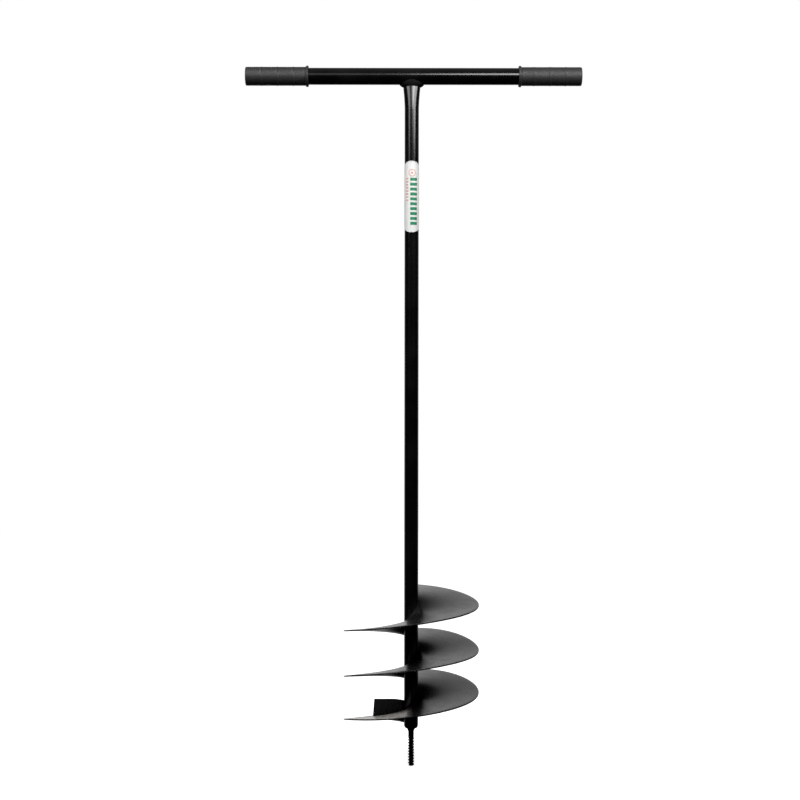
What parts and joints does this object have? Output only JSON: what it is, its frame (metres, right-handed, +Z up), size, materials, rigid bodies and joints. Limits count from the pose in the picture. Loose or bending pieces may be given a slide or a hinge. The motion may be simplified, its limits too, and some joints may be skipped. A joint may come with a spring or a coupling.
{
  "type": "hand earth auger",
  "caption": "Hand earth auger: a T-handle with ribbed rubber grips on a tube shaft, with helical flights, a breaker blade and a threaded pilot point.",
  "frame": {"origin": "centre of the pilot screw's blunt lower end, on the shaft's axis", "axes": "+Z up the shaft to the handle, +X along the crossbar to the user's right, +Y away from the user"},
  "size_m": [0.4964, 0.2, 1.0337],
  "materials": {
    "gloss_black_paint": "glossy black enamel on steel tube",
    "satin_black_paint": "satin black paint on steel plate and weld beads",
    "grip_rubber": "dark grey moulded rubber, finely ribbed",
    "sticker": "white printed sticker with a clear coat"
  },
  "bodies": {
    "root": {"crossbar_tube": "gloss_black_paint", "grip_left": "grip_rubber", "grip_right": "grip_rubber", "shaft_tube": "gloss_black_paint", "tee_weld": "gloss_black_paint", "label": "sticker", "flight_lower": "satin_black_paint", "flight_middle": "satin_black_paint", "flight_upper": "satin_black_paint", "root_weld_lower_top": "satin_black_paint", "root_weld_lower_under": "satin_black_paint", "root_weld_middle_top": "satin_black_paint", "root_weld_middle_under": "satin_black_paint", "root_weld_upper_top": "satin_black_paint", "root_weld_upper_under": "satin_black_paint", "seam_weld_lower_middle": "satin_black_paint", "seam_weld_middle_upper": "satin_black_paint", "breaker_blade": "satin_black_paint", "blade_weld_front": "satin_black_paint", "blade_weld_back": "satin_black_paint", "end_plug": "gloss_black_paint", "pilot_screw": "gloss_black_paint", "pilot_weld": "gloss_black_paint"}
  },
  "joints": []
}
